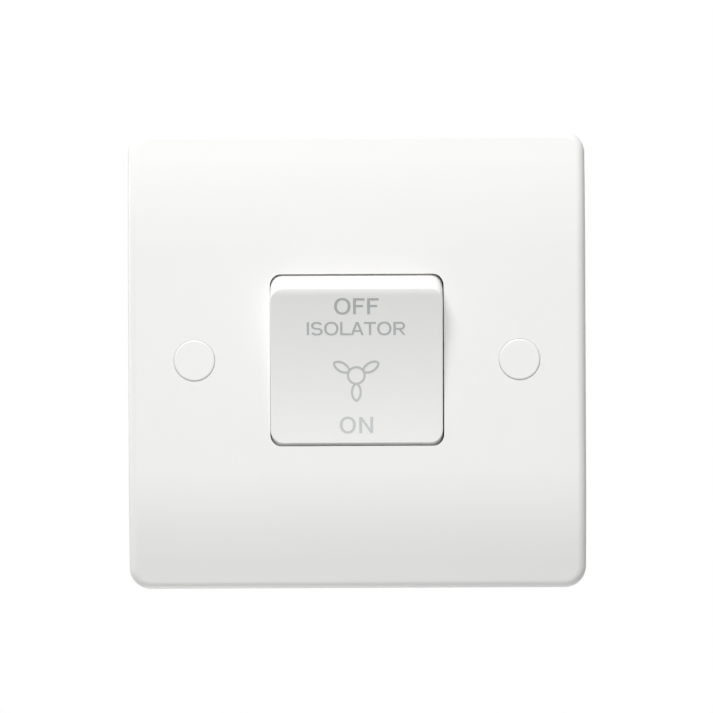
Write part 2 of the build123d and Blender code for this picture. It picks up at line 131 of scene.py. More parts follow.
class MouldingSettings(PropertyGroup):
    """Colours and finish of the plastic mouldings."""

    white: colour("White", "Urea of the plate, rocker and caps", (0.87, 0.868, 0.857))
    white_roughness: share("White roughness", "Roughness of the white mouldings", 0.34)
    grey: colour("Grey", "Moulding of the rocker frame and switch base", (0.42, 0.43, 0.44))
    grey_roughness: share("Grey roughness", "Roughness of the grey mouldings", 0.55)
    acetal: colour("Acetal", "Plungers", (0.85, 0.84, 0.79))
    acetal_roughness: share("Acetal roughness", "Roughness of the plungers", 0.38)
    peel_depth: length("Orange peel", "Depth of the soft waviness of white mouldings and plungers", 0.0015)
    spark_depth: length("Spark texture", "Depth of the grey mouldings' fine matt texture", 0.02)


class MetalSettings(PropertyGroup):
    """Colours and finish of the metal pieces."""

    brass: colour("Brass", "Turned and milled terminal blocks", (0.71, 0.53, 0.24))
    strip: colour("Contact strip", "Rolled strip of the contacts", (0.72, 0.49, 0.27))
    silver: colour("Silver", "Contact tips", (0.83, 0.82, 0.79))
    zinc: colour("Zinc", "Plated screws", (0.66, 0.67, 0.68))
    wire: colour("Wire", "Drawn wire of the springs", (0.48, 0.48, 0.49))
    line_depth: length("Tool lines", "Depth of drawing and cutting lines", 0.002)


class SpringSettings(PropertyGroup):
    """The plungers' springs."""

    coil: length("Coil", "Radius of the coil, to the middle of the wire", 1.2)
    gauge: length("Gauge", "Thickness of the wire", 0.4)
    seat: length("Seat", "Seat in the rocker, in front of the pivot axis", 6.5)
    shoulder: length("Shoulder", "Plunger's shoulder, behind the pivot axis", 0.5)
    turns: IntProperty(name="Turns", description="Turns of the coil", min=2, max=12, default=6)


class PrintSettings(PropertyGroup):
    """The legends printed on the rocker."""

    ink_top: colour("Ink, OFF end", "Pad-printed grey at the rocker's upper end", (0.43, 0.452, 0.452))
    ink_bottom: colour("Ink, ON end", "The same ink, thinner, at the lower end", (0.597, 0.617, 0.617))
    ink_thickness: length("Ink thickness", "How far the ink stands on the face", 0.03)
    off_height: length("OFF height", "Height of the word's letters", 2.95)
    isolator_height: length("ISOLATOR height", "Height of the word's letters", 2.42)
    on_height: length("ON height", "Height of the word's letters", 2.95)
    off_place: length("OFF place", "Middle of the word above the pivot, along the face", 11.14)
    isolator_place: length("ISOLATOR place", "Middle of the word above the pivot, along the face", 6.96)
    sign_place: length("Fan sign place", "Hub of the sign below the pivot, along the face", 1.8)
    on_place: length("ON place", "Middle of the word below the pivot, along the face", 11.0)
    aside: length("Print aside", "How far the print below OFF stands left of the middle", 0.075)
    hub_radius: length("Hub", "Radius of the fan sign's ring", 1.54)
    blade_length: length("Blade length", "From the ring to the tip of a blade", 3.15)
    blade_width: length("Blade width", "Across one blade", 1.6)
    sign_line: length("Sign line", "Line width of the fan sign", 0.4)


class ThreadSettings(PropertyGroup):
    """The fixing screws."""

    # The root colour is painted shade, laid on the zinc at the bottom of the thread.
    root: colour("Root", "Zinc at the bottom of the thread", (0.13, 0.13, 0.125))
    pitch: length("Pitch", "Thread pitch", 0.6)
    depth: length("Depth", "Crest to root", 0.36)
    crest: length("Crest", "Outer radius of the thread", 1.75)
    samples: IntProperty(name="Steps", description="Steps along each pitch", min=6, max=24, default=10)


class StageSettings(PropertyGroup):
    """Camera, light and floor."""

    distance: length("Camera distance", "From the wall plane to the camera", 680.0)
    frame_width: length("Frame width", "Width seen at the wall plane", 133.97)
    camera_x: FloatProperty(name="Camera X", description="Sideways place", unit="LENGTH", default=-0.09 * MM)
    camera_z: FloatProperty(name="Camera Z", description="Height", unit="LENGTH", default=0.65 * MM)
    roll: FloatProperty(
        name="Roll", description="Turn about the view axis", subtype="ANGLE", default=radians(0.25))
    key_power: power("Key", "Power of the upper left softbox", 13.55)
    key_size: length("Key size", "Side of the softbox", 650.0)
    key_place: position("Key place", "Upper left softbox", (-0.21, -0.58, 0.88))
    front_power: power("Front", "Power of the front panel", 1.68)
    front_size: length("Front size", "Side of the front panel", 360.0)
    front_place: position("Front place", "Front panel, behind the camera", (0.0, -1.3, 0.02))
    low_power: power("Low", "Power of the low card", 0.13)
    low_place: position("Low place", "Card below the plate's edge", (-0.05, 0.05, -0.27))
    left_power: power("Left", "Power of the left card", 0.28)
    left_place: position("Left place", "Card to the left and behind the plate", (-0.4, 0.09, 0.05))
    card_size: length("Card size", "Side of the low and left cards", 140.0)
    surround: share("Surround", "Light from all round", 0.19)
    floor_drop: length("Floor", "Floor below the pivot", 360.0)
    floor_radius: length("Floor radius", "Radius of the round floor", 420.0)
    floor: colour("Floor colour", "Pale floor", (0.9, 0.9, 0.9))


# Surfaces

def grid_faces(rows, columns, wrap_rows=False, wrap_columns=False):
    """Corner numbers of the quads of a grid, wrapped round along either direction if asked."""
    index = np.arange(rows * columns).reshape(rows, columns)
    if wrap_rows:
        index = np.vstack([index, index[:1]])
    if wrap_columns:
        index = np.hstack([index, index[:, :1]])
    corners = (index[:-1, :-1], index[:-1, 1:], index[1:, 1:], index[1:, :-1])
    return np.stack(corners, axis=-1).reshape(-1, 4)


def tube_faces(rows, columns, first=0, turned=False):
    """Faces of a grid wrapped round along its columns and closed at both ends, from a first corner on."""
    way = -1 if turned else 1
    index = np.arange(first, first + rows * columns).reshape(rows, columns)
    quads = (grid_faces(rows, columns, wrap_columns=True) + first)[:, ::way]
    return quads.tolist() + [index[0, ::-way].tolist(), index[-1, ::way].tolist()]


def new_object(name, points, faces, material, smooth=False):
    """A mesh object at the origin from an array of points and a list of faces."""
    mesh = bpy.data.meshes.new(name)
    mesh.from_pydata(points.tolist(), [], faces)
    mesh.polygons.foreach_set("use_smooth", np.full(len(mesh.polygons), smooth))
    mesh.materials.append(material)
    mesh.update()
    made = bpy.data.objects.new(name, mesh)
    bpy.context.scene.collection.objects.link(made)
    return made


def new_piece(name, points, faces, material, body, smooth=False):
    """A mesh object with one material, riding on a body if one is given."""
    piece = new_object(name, points, faces, material, smooth)
    if body:
        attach(piece, body)
    return piece


# Plunger springs

SIDEWAYS = np.array([1.0, 0.0, 0.0])
SLIDE = np.array(JOINTS["plunger_slide_1"]["axis"])      # along the plungers, out of the rocker
STEPS_PER_TURN = 24


def on_plunger_axis(pole, along):
    """A point on a plunger's axis, at a distance behind the pivot."""
    low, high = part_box(f"plunger_{pole}")
    return np.array(PIVOT["pos_m"]) + SIDEWAYS * (low.x + high.x) / 2 + SLIDE * along


def coil_spring(settings, pole, columns=12):
    """A round wire wound about a plunger's axis, as a grid along and round the wire.

    The wire's middle lies at the coil's radius in the direction out = cos t * up + sin t * sideways, and
    moves along the axis by one pitch each full turn of t. A circle is carried along it, spanned by out and
    by the cross product of the wire's tangent and out.
    """
    up = np.cross(SIDEWAYS, SLIDE)
    turn = np.linspace(0, tau * settings.turns, settings.turns * STEPS_PER_TURN + 1)[:, None, None]
    pitch = (settings.seat + settings.shoulder - settings.gauge) / settings.turns
    out = np.cos(turn) * up + np.sin(turn) * SIDEWAYS
    ahead = settings.coil * (np.cos(turn) * SIDEWAYS - np.sin(turn) * up) + pitch / tau * SLIDE
    across = np.cross(ahead / np.linalg.norm(ahead, axis=-1, keepdims=True), out)
    start = on_plunger_axis(pole, settings.gauge / 2 - settings.seat)
    middle = start + settings.coil * out + pitch * turn / tau * SLIDE
    angle = np.linspace(0, tau, columns, endpoint=False)[None, :, None]
    return middle + settings.gauge / 2 * (np.cos(angle) * out + np.sin(angle) * across)


# The rocker's face, on which the legends are printed

FACE_REACH = 9.4 * MM        # pivot axis to the chord of the face
FACE_DISH = 0.8 * MM         # hollow of the face
FACE_HALF = 14.3615 * MM     # half the chord
FACE_SHIFT = -0.08 * MM      # middle of the rocker, left of the plate's
TILT = radians(PIVOT["range_deg"][1] / 2)


def on_rocker_face(flat, lift):
    """Carry flat points (across, up) to the rocker's face, lifted along its normal.

    The face is a shallow cylinder of radius R = (half chord^2 + dish^2) / (2 dish) about an axis in front of
    it. A point at height z on it lies sqrt(R^2 - z^2) from that axis plane, its normal points at the axis,
    and the whole is turned by half the rocker's throw about the pivot.
    """
    radius = (FACE_HALF**2 + FACE_DISH**2) / (2 * FACE_DISH)
    across, up = flat[..., 0], flat[..., 1]
    root = np.sqrt(radius**2 - up**2)
    y = FACE_DISH - FACE_REACH - radius + root * (1 - lift / radius)
    z = up * (1 - lift / radius)
    turned_y = y * cos(TILT) - z * sin(TILT) + PIVOT["pos_m"][1]
    turned_z = y * sin(TILT) + z * cos(TILT)
    return np.stack([across + FACE_SHIFT, turned_y, turned_z], axis=-1)


def ribbon(path, stem, bar, closed, level, bottom, top):
    """Points and faces of one stroke of ink.

    The path's tangent gives the stroke's normal, or a level direction where the stroke is to end level. The
    stroke is as wide as a stem where it runs up and as a bar where it runs across, by the root of the squares
    of both parts. Four edges, left and right at the bottom and top of the ink, are carried along the path.
    """
    ahead = np.roll(path, -1, axis=0) - np.roll(path, 1, axis=0)
    if not closed:
        ahead = np.gradient(path, axis=0)
    ahead = ahead / np.linalg.norm(ahead, axis=1, keepdims=True)
    across = np.stack([ahead[:, 1], -ahead[:, 0]], axis=1)
    half = np.hypot(stem * ahead[:, 1], bar * ahead[:, 0])[:, None] / 2
    if level:
        across = np.sign(across[:, :1]) * np.array([[1.0, 0.0]])
        half = np.full_like(half, stem / 2)
    left, right = path - across * half, path + across * half
    section = [on_rocker_face(left, bottom), on_rocker_face(right, bottom),
               on_rocker_face(right, top), on_rocker_face(left, top)]
    points = np.stack(section, axis=1)
    faces = grid_faces(len(path), 4, wrap_rows=closed, wrap_columns=True)
    if not closed:
        start = np.arange(4)
        faces = np.vstack([faces, start[::-1], start + 4 * (len(path) - 1)])
    return points.reshape(-1, 3), faces[:, ::-1]


def line(start, end, steps=6):
    """A straight path."""
    return np.linspace(start, end, steps)


def curve(centre, radii, start, stop, steps=28, exponent=2.0):
    """A path round a superellipse, |x/a|^p + |y/b|^p = 1, between two angles in degrees."""
    angle = np.radians(np.linspace(start, stop, steps))
    x = np.sign(np.cos(angle)) * np.abs(np.cos(angle))**(2 / exponent)
    y = np.sign(np.sin(angle)) * np.abs(np.sin(angle))**(2 / exponent)
    return np.stack([centre[0] + radii[0] * x, centre[1] + radii[1] * y], axis=1)


def loop(centre, radii, exponent=2.0, steps=72):
    """A closed path round a whole superellipse."""
    return curve(centre, radii, 0, 360, steps + 1, exponent)[:-1]


# Letters, one unit high; each stroke is (path, closed, level), and each letter has its own width

STEM = 0.172                 # width of an upright
BAR = 0.13                   # width of a crossbar
ROUND_OVER = 0.025           # how far round letters stand over the others
O_EXPONENT = 2.15            # squareness of the O
S_EXPONENT = 2.2             # squareness of the S
S_STEPS = 36                 # steps along each bowl of the S
S_SQUEEZE = 0.94             # height of the S's bowls, per height of a round letter's half
INDENT = 0.02                # how far the upper S and the bowl of the R stand in
WIDTHS = {"O": 1.04, "F": 0.73, "N": 0.9, "I": STEM, "S": 0.86, "L": 0.76, "A": 0.95, "T": 0.86, "R": 0.87}

# Each word's stretch across, the weight of its strokes, and the gaps between its letters per height
WORDS = {
    "OFF": (0.978, 1.02, (0.17, 0.17)),
    "ISOLATOR": (1.06, 1.03, (0.12, 0.1, 0.11, 0.0, 0.02, 0.08, 0.13)),
    "ON": (0.955, 1.04, (0.24,)),
}
BLADE_ANGLES = (-90, 30, 150)
BLADE_FULLNESS = 0.6         # exponent of a blade's width along it
STROKE_STEP = 0.02           # how much higher each stroke stands than the one before, per ink thickness


def straight(start, end, level=False):
    """One straight stroke."""
    return line(start, end), False, level


def letter(name):
    """The strokes of one letter of a plain wide sans, as centre lines."""
    width = WIDTHS[name]
    left, right, middle = STEM / 2, width - STEM / 2, width / 2
    low, high = BAR / 2, 1 - BAR / 2
    upright = straight((left, 0), (left, 1))
    if name == "O":
        radii = (middle - STEM / 2, 0.5 + ROUND_OVER - BAR / 2)
        return [(loop((middle, 0.5), radii, O_EXPONENT), True, False)]
    if name == "S":
        bowl = (0.25 + ROUND_OVER - BAR / 4) * S_SQUEEZE
        reach = middle - STEM / 2
        upper = curve((middle, 0.5 + bowl), (reach - INDENT, bowl), 20, 270, S_STEPS, S_EXPONENT)
        lower = curve((middle, 0.5 - bowl), (reach, bowl), 90, -160, S_STEPS, S_EXPONENT)
        return [(np.vstack([upper, lower[1:]]), False, False)]
    if name == "T":
        return [straight((0, high), (width, high)), straight((middle, 0), (middle, 1 - BAR))]
    if name == "A":
        foot, apex, bar_height = 0.55 * STEM, 0.08 * STEM, 0.31
        inner = foot + (middle - foot) * bar_height
        return [straight((foot, 0), (middle - apex, 1), level=True),
                straight((width - foot, 0), (middle + apex, 1), level=True),
                straight((inner, bar_height), (width - inner, bar_height))]
    if name == "N":
        return [upright, straight((right, 0), (right, 1)), straight((left, 1), (right, 0), level=True)]
    if name == "F":
        arm, arm_height = 0.87 * width, 0.51
        return [upright,
                straight((STEM, high), (width, high)),
                straight((STEM, arm_height), (arm, arm_height))]
    if name == "L":
        return [upright, straight((STEM, low), (width, low))]
    if name == "R":
        waist = 0.47
        radius = (high - waist) / 2
        bend = (right - INDENT - radius, waist + radius)
        bowl = np.vstack([line((STEM, high), (bend[0], high)),
                          curve(bend, (radius, radius), 90, -90)[1:-1],
                          line((bend[0], waist), (STEM, waist))])
        return [upright, (bowl, False, False), straight((middle, waist), (right, 0), level=True)]
    return [upright]


def word_strokes(text, height, stretch, gaps):
    """All strokes of a word in metres, centred across."""
    strokes = []
    pen = 0.0
    for name, gap in zip(text, gaps + (0.0,)):
        for path, closed, level in letter(name):
            strokes.append(((path + (pen, -0.5)) * (height * stretch, height), closed, level))
        pen += WIDTHS[name] + gap
    shift = np.array([pen * height * stretch / 2, 0.0])
    return [(path - shift, closed, level) for path, closed, level in strokes]


def blade_path(hub, reach, width, angle, steps=64):
    """The outline of one fan blade: a lens from the hub's ring outwards, (4 s (1 - s))^fullness wide."""
    turn = np.linspace(0, tau, steps, endpoint=False)
    along = (1 - np.cos(turn)) / 2
    side = np.sign(np.sin(turn)) * np.abs(4 * along * (1 - along))**BLADE_FULLNESS
    out, wide = hub + reach * along, width / 2 * side
    return np.stack([out * cos(angle) - wide * sin(angle), out * sin(angle) + wide * cos(angle)], axis=1)


def print_strokes(name, strokes, place, stem, bar, thickness, material):
    """One printed legend from its strokes; each stroke stands a hair over the one before."""
    points, faces, count = [], [], 0
    for order, (path, closed, level) in enumerate(strokes):
        top = thickness * (1 + STROKE_STEP * order)
        made, quads = ribbon(path + place, stem, bar, closed, level, -thickness, top)
        points.append(made)
        faces.append(quads + count)
        count += len(made)
    return new_piece(name, np.vstack(points), np.vstack(faces).tolist(), material, "rocker")


# Fixing screws

SCREW_HALF_CENTRES = 60.3 * MM / 2
HEAD_RIM = (3.3 * MM, -5.3 * MM)     # radius and place of the head's rim
HEAD_TOP = -6.1 * MM
NECK = (1.45 * MM, -3.45 * MM)       # radius of the neck and the place where it leaves the head
NECK_SINK = 0.3 * MM                 # how far the neck's own shape starts inside the head
NECK_ROWS = 5
SHANK_END = 20.5 * MM
FLANK = 1.35                         # steepness of the thread's flanks, which leaves flats at crest and root
TAPER_PITCHES = 1.5                  # length of the tapered tip, in pitches
TIP_CORE = 0.62                      # share of the core's radius that is left at the very tip
SLOT = (0.9 * MM, 0.8 * MM)          # width and depth of the driver slot
# The attribute below carries the mask of the painted shade in the thread.
PAINTED_SHADE_ATTRIBUTE = "thread_shade_mask"                 # attribute that holds how deep a point lies in the thread


def tip_taper(y, settings):
    """One along the shank, falling to nought over the tapered tip."""
    return np.clip((SHANK_END - y) / (TAPER_PITCHES * settings.pitch), 0, 1)


def threaded_shank(settings, columns=40):
    """The screw from inside its head to its tip, as a grid round the axis.

    The radius is the neck's up to the wall plane. Beyond it the radius falls from the crest by the thread's
    depth times a triangle wave of y / pitch - angle / full turn, steepened about its middle and clipped, and
    tapers over the last pitch and a half.
    """
    neck = np.linspace(NECK[1] - NECK_SINK, 0, NECK_ROWS, endpoint=False)
    thread = np.linspace(0, SHANK_END, int(SHANK_END / settings.pitch * settings.samples))
    angle = np.linspace(0, tau, columns, endpoint=False)
    y, angle = np.meshgrid(np.concatenate([neck, thread]), angle, indexing="ij")
    phase = (y / settings.pitch - angle / tau) % 1.0
    wave = np.clip((np.abs(2 * phase - 1) - 0.5) * FLANK + 0.5, 0, 1)
    run_in = np.clip(y / settings.pitch, 0, 1)
    taper = tip_taper(y, settings)
    core = (settings.crest - settings.depth) * (TIP_CORE + (1 - TIP_CORE) * taper)
    radius = core + settings.depth * (1 - wave) * run_in * taper
    radius = np.where(y < 0, NECK[0], radius)
    return np.stack([radius * np.cos(angle), y, radius * np.sin(angle)], axis=-1)


def thread_shade_mask(grid, settings):
    """How deep each point of the shank lies in the thread: nought on the crest, one at the root. It is the
    mask of the painted shade in the thread.
    """
    y = grid[..., 1]
    radius = np.hypot(grid[..., 0], grid[..., 2])
    deep = np.clip((settings.crest - radius) / settings.depth, 0, 1)
    return np.where(y > 0, deep * tip_taper(y, settings), 0.0)


def screw_head(lines=9, steps=25):
    """The raised countersunk head as a grid of chords, each closed below by two points on the neck's circle.

    Chords lie at places x, doubled at the walls of the driver slot, and run over -c to c with c the root of
    R^2 - x^2. Their height is that of a sphere through the rim and the top, or of the slot's floor between
    the walls. A cone joins rim and neck.
    """
    rim, half_slot = HEAD_RIM[0], SLOT[0] / 2
    side = np.linspace(half_slot, rim, lines)
    x = np.concatenate([-side[::-1], [-half_slot, half_slot], side])[:, None]
    chord = np.sqrt(np.maximum(rim**2 - x**2, 0))
    z = chord * np.linspace(-1, 1, steps)[None, :]
    rise = HEAD_RIM[1] - HEAD_TOP
    ball = (rim**2 + rise**2) / (2 * rise)
    y = HEAD_TOP + ball - np.sqrt(ball**2 - x**2 - z**2)
    y[lines:lines + 2] = HEAD_TOP + SLOT[1]
    top = np.stack([np.broadcast_to(x, z.shape), y, z], axis=-1)
    shrink = NECK[0] / rim
    foot = np.concatenate([chord, -chord], axis=1) * shrink
    under = np.stack([np.broadcast_to(x * shrink, foot.shape), np.full(foot.shape, NECK[1]), foot], axis=-1)
    return np.concatenate([top, under], axis=1)


# Shader nodes and node groups; the scales of noise are features per metre

COLOUR, FLOAT, VECTOR = "NodeSocketColor", "NodeSocketFloat", "NodeSocketVector"
NOISE_SPAN = (0.3, 0.7)              # where most of a noise texture's values lie
FLOW_SCALE = 55.0                    # drift of a moulding's colour
HAZE_SCALE = 420.0                   # drift of a moulding's gloss
CLOUD_SCALE = 330.0                  # tarnish of metal
SPECK_SCALE = 5200.0                 # specks in printed ink
FLOOR_SCALE = 40.0                   # drift of the floor's roughness
WHITE_GRAIN, GREY_GRAIN, ACETAL_GRAIN = 900.0, 3800.0, 1500.0
INK_FADE = (-12.0 * MM, 10.0 * MM)   # heights between which the ink gets thicker
INK_DENSITY = 0.08                   # how far the specks thin or thicken the ink
INK_ROUGHNESS = (0.42, 0.52)
FLOOR_ROUGHNESS = (0.85, 0.95)

# Each metal's tarnish, its greatest share, the scale of its lines along x, y and z, and its roughness
METALS = {
    "Milled brass": ((0.42, 0.25, 0.09), 0.5, (900, 9000, 900), (0.2, 0.38)),
    "Rolled strip": ((0.40, 0.20, 0.09), 0.45, (9000, 700, 700), (0.22, 0.4)),
    "Silver alloy": ((0.45, 0.42, 0.38), 0.5, (4000, 4000, 4000), (0.25, 0.4)),
    "Zinc plate": ((0.50, 0.49, 0.44), 0.6, (2500, 2500, 2500), (0.24, 0.42)),
    "Drawn wire": ((0.25, 0.24, 0.23), 0.5, (6000, 6000, 6000), (0.25, 0.4)),
}


def add(tree, kind, x, y, **settings):
    """A node at a place in a tree, with its own settings."""
    node = tree.nodes.new(kind)
    node.location = (x, y)
    for key, value in settings.items():
        setattr(node, key, value)
    return node


def feed(tree, socket, value):
    """Link an output to a socket, or set a plain value on it."""
    if isinstance(value, NodeSocket):
        tree.links.new(value, socket)
    else:
        socket.default_value = value


def new_group(name, inputs):
    """A shader node group that puts out colour, roughness and height, with its input and output nodes."""
    tree = bpy.data.node_groups.new(name, "ShaderNodeTree")
    for label, kind in inputs.items():
        tree.interface.new_socket(label, in_out="INPUT", socket_type=kind)
    for label, kind in (("Colour", COLOUR), ("Roughness", FLOAT), ("Height", FLOAT)):
        tree.interface.new_socket(label, in_out="OUTPUT", socket_type=kind)
    return tree, add(tree, "NodeGroupInput", -900, 0).outputs, add(tree, "NodeGroupOutput", 700, 0).inputs


def noise(tree, x, y, vector, scale, detail, distortion=0.0):
    """The value of a noise texture on a vector."""
    node = add(tree, "ShaderNodeTexNoise", x, y)
    values = {"Vector": vector, "Scale": scale, "Detail": detail, "Distortion": distortion}
    for label, value in values.items():
        feed(tree, node.inputs[label], value)
    return node.outputs["Fac"]


def remap(tree, x, y, value, low, high, span=NOISE_SPAN):
    """Spread a value over a range, from a span that is a noise value's unless given."""
    node = add(tree, "ShaderNodeMapRange", x, y)
    feed(tree, node.inputs["Value"], value)
    for label, limit in zip(("From Min", "From Max", "To Min", "To Max"), (*span, low, high)):
        feed(tree, node.inputs[label], limit)
    return node.outputs["Result"]


def arithmetic(tree, x, y, operation, first, second):
    """A math node on two sockets or plain numbers."""
    node = add(tree, "ShaderNodeMath", x, y, operation=operation)
    feed(tree, node.inputs[0], first)
    feed(tree, node.inputs[1], second)
    return node.outputs["Value"]


def blend(tree, x, y, factor, first, second):
    """Mix two colours by a factor."""
    node = add(tree, "ShaderNodeMix", x, y, data_type="RGBA")
    feed(tree, node.inputs["Factor"], factor)
    for socket, value in zip((item for item in node.inputs if item.type == "RGBA"), (first, second)):
        feed(tree, socket, value)
    return next(item for item in node.outputs if item.type == "RGBA")


def moulded_skin():
    """Moulded plastic: a faint drift of colour, uneven gloss and a soft surface texture."""
    tree, given, out = new_group("Moulded skin", {
        "Colour": COLOUR, "Flow colour": COLOUR, "Gloss low": FLOAT, "Gloss high": FLOAT,
        "Texture scale": FLOAT})
    where = add(tree, "ShaderNodeTexCoord", -900, -300).outputs["Object"]
    flow = noise(tree, -650, 250, where, FLOW_SCALE, 2.0, distortion=0.6)
    drift = remap(tree, -400, 250, flow, 0.0, 1.0)
    feed(tree, out["Colour"], blend(tree, 300, 250, drift, given["Colour"], given["Flow colour"]))
    haze = noise(tree, -650, -50, where, HAZE_SCALE, 3.0)
    feed(tree, out["Roughness"], remap(tree, -400, -50, haze, given["Gloss low"], given["Gloss high"]))
    feed(tree, out["Height"], noise(tree, -650, -350, where, given["Texture scale"], 4.0))
    return tree


def worked_metal():
    """Worked metal: fine lines along one way, clouds of tarnish and a roughness that follows both."""
    tree, given, out = new_group("Worked metal", {
        "Colour": COLOUR, "Tarnish": COLOUR, "Tarnish share": FLOAT, "Line scale": VECTOR, "Gloss low": FLOAT,
        "Gloss high": FLOAT})
    where = add(tree, "ShaderNodeTexCoord", -900, -300).outputs["Object"]
    stretched = add(tree, "ShaderNodeVectorMath", -650, -300, operation="MULTIPLY")
    feed(tree, stretched.inputs[0], where)
    feed(tree, stretched.inputs[1], given["Line scale"])
    lines = noise(tree, -450, -300, stretched.outputs["Vector"], 1.0, 3.0)
    cloud = noise(tree, -650, 250, where, CLOUD_SCALE, 4.0)
    spots = remap(tree, -400, 250, cloud, 0.0, given["Tarnish share"])
    feed(tree, out["Colour"], blend(tree, 300, 250, spots, given["Colour"], given["Tarnish"]))
    mixed = arithmetic(tree, -200, -100, "ADD", lines, cloud)
    halved = arithmetic(tree, 0, -100, "MULTIPLY", mixed, 0.5)
    feed(tree, out["Roughness"], remap(tree, 200, -100, halved, given["Gloss low"], given["Gloss high"]))
    feed(tree, out["Height"], lines)
    return tree


def fresh_material(name):
    """A material with only a Principled shader and its output."""
    material = bpy.data.materials.new(name)
    material.use_nodes = True
    tree = material.node_tree
    tree.nodes.clear()
    shader = add(tree, "ShaderNodeBsdfPrincipled", 300, 0)
    result = add(tree, "ShaderNodeOutputMaterial", 600, 0)
    tree.links.new(shader.outputs["BSDF"], result.inputs["Surface"])
    return material, tree, shader


def textured(name, group, values, bump_depth, **constants):
    """A material from a node group: its values, the bump's depth and the shader's own constants."""
    material, tree, shader = fresh_material(name)
    effect = add(tree, "ShaderNodeGroup", -200, 0, node_tree=group)
    for label, value in values.items():
        effect.inputs[label].default_value = value
    bump = add(tree, "ShaderNodeBump", 50, -250)
    bump.inputs["Strength"].default_value = 1.0
    bump.inputs["Distance"].default_value = bump_depth
    tree.links.new(effect.outputs["Height"], bump.inputs["Height"])
    tree.links.new(effect.outputs["Colour"], shader.inputs["Base Color"])
    tree.links.new(effect.outputs["Roughness"], shader.inputs["Roughness"])
    tree.links.new(bump.outputs["Normal"], shader.inputs["Normal"])
    for label, value in constants.items():
        shader.inputs[label].default_value = value
    return material


def tint(base, factor=1.0):
    """A colour times a factor, with full alpha."""
    return tuple(min(1.0, part * factor) for part in base) + (1.0,)


def node_group(name, make):
    """A node group by name, built once."""
    return bpy.data.node_groups.get(name) or make()


def moulded(name, base, roughness, grain, depth, flow=0.985, haze=0.05):
    """A moulded plastic: flow is the darkest drift of its colour, haze how far its roughness wanders."""
    values = {"Colour": tint(base), "Flow colour": tint(base, flow), "Gloss low": roughness - haze,
              "Gloss high": roughness + haze, "Texture scale": grain}
    return textured(name, node_group("Moulded skin", moulded_skin), values, depth, IOR=1.5)


def worked(name, base, depth):
    """A worked metal material, with the tarnish, lines and roughness of its name."""
    tarnish, amount, lines, gloss = METALS[name]
    values = {"Colour": tint(base), "Tarnish": tint(tarnish), "Tarnish share": amount, "Line scale": lines,
              "Gloss low": gloss[0], "Gloss high": gloss[1]}
    return textured(name, node_group("Worked metal", worked_metal), values, depth, Metallic=1.0)


def zinc_with_painted_shade(settings):
    """Zinc plate with painted shade at the roots of a thread: its colour darkens towards the root colour the
    deeper a point lies.
    """
    material = bpy.data.materials["Zinc plate"].copy()
    material.name = "Zinc with painted thread shade"
    tree = material.node_tree
    shader = next(node for node in tree.nodes if node.type == "BSDF_PRINCIPLED")
    effect = next(node for node in tree.nodes if node.type == "GROUP")
    root = add(tree, "ShaderNodeAttribute", -200, 300, attribute_name=PAINTED_SHADE_ATTRIBUTE)
    # Painted shade: the zinc is mixed towards the dark root colour by depth in the thread.
    shaded = blend(tree, 50, 300, root.outputs["Fac"], effect.outputs["Colour"], tint(settings.root))
    tree.links.new(shaded, shader.inputs["Base Color"])
    return material


def printed_ink(settings):
    """Pad-printed ink: thinner towards the ON end, with a fine uneven density."""
    material, tree, shader = fresh_material("Pad-printed ink")
    where = add(tree, "ShaderNodeTexCoord", -900, 0).outputs["Object"]
    height = add(tree, "ShaderNodeSeparateXYZ", -700, 150)
    tree.links.new(where, height.inputs["Vector"])
    fade = remap(tree, -450, 150, height.outputs["Z"], 0.0, 1.0, INK_FADE)
    speck = noise(tree, -700, -150, where, SPECK_SCALE, 2.0)
    density = remap(tree, -450, -150, speck, -INK_DENSITY, INK_DENSITY)
    ramp = add(tree, "ShaderNodeValToRGB", 0, 50)
    ramp.color_ramp.elements[0].color = tint(settings.ink_bottom)
    ramp.color_ramp.elements[1].color = tint(settings.ink_top)
    tree.links.new(arithmetic(tree, -200, 50, "ADD", fade, density), ramp.inputs["Fac"])
    tree.links.new(ramp.outputs["Color"], shader.inputs["Base Color"])
    tree.links.new(remap(tree, 0, -250, speck, *INK_ROUGHNESS), shader.inputs["Roughness"])
    return material


def dress(material, *names):
    """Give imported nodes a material."""
    for name in names:
        mesh = frame["nodes"][name].data
        mesh.materials.clear()
        mesh.materials.append(material)


def each_pole(*names):
    """The node names of pieces that each pole has."""
    return [f"{name}_{pole}" for name in names for pole in POLES]


# Operators

class SWITCH_OT_mouldings(Operator):
    """Finish the white, grey and acetal mouldings"""

    bl_idname = "fan_switch.mouldings"
    bl_label = "Finish mouldings"

    def execute(self, context):
        settings = context.scene.switch_mouldings
        peel, spark = settings.peel_depth, settings.spark_depth
        white = moulded(
            "White urea", settings.white, settings.white_roughness, WHITE_GRAIN, peel, flow=0.992, haze=0.015)
        dress(white, "front_plate", "rocker", "screw_cap_left", "screw_cap_right")
        grey = moulded("Grey moulding", settings.grey, settings.grey_roughness, GREY_GRAIN, spark, flow=0.93)
        dress(grey, "rocker_frame", "switch_base")
        acetal = moulded("Acetal", settings.acetal, settings.acetal_roughness, ACETAL_GRAIN, peel)
        dress(acetal, *each_pole("plunger"))
        return {"FINISHED"}


class SWITCH_OT_metal(Operator):
    """Finish the terminals, contacts, springs and screws"""

    bl_idname = "fan_switch.metal"
    bl_label = "Finish metal"

    def execute(self, context):
        settings = context.scene.switch_metal
        finishes = {
            "Milled brass": (settings.brass, each_pole("fan_terminal", "supply_terminal")),
            "Rolled strip": (settings.strip, each_pole("fixed_contact", "contact_cradle", "rocking_contact")),
            "Silver alloy": (settings.silver, each_pole("fixed_tip", "moving_tip")),
            "Zinc plate": (settings.zinc, ["fixing_screws", "base_screws", "terminal_screws"]),
            "Drawn wire": (settings.wire, each_pole("plunger_spring")),
        }
        for name, (base, nodes) in finishes.items():
            dress(worked(name, base, settings.line_depth), *nodes)
        return {"FINISHED"}


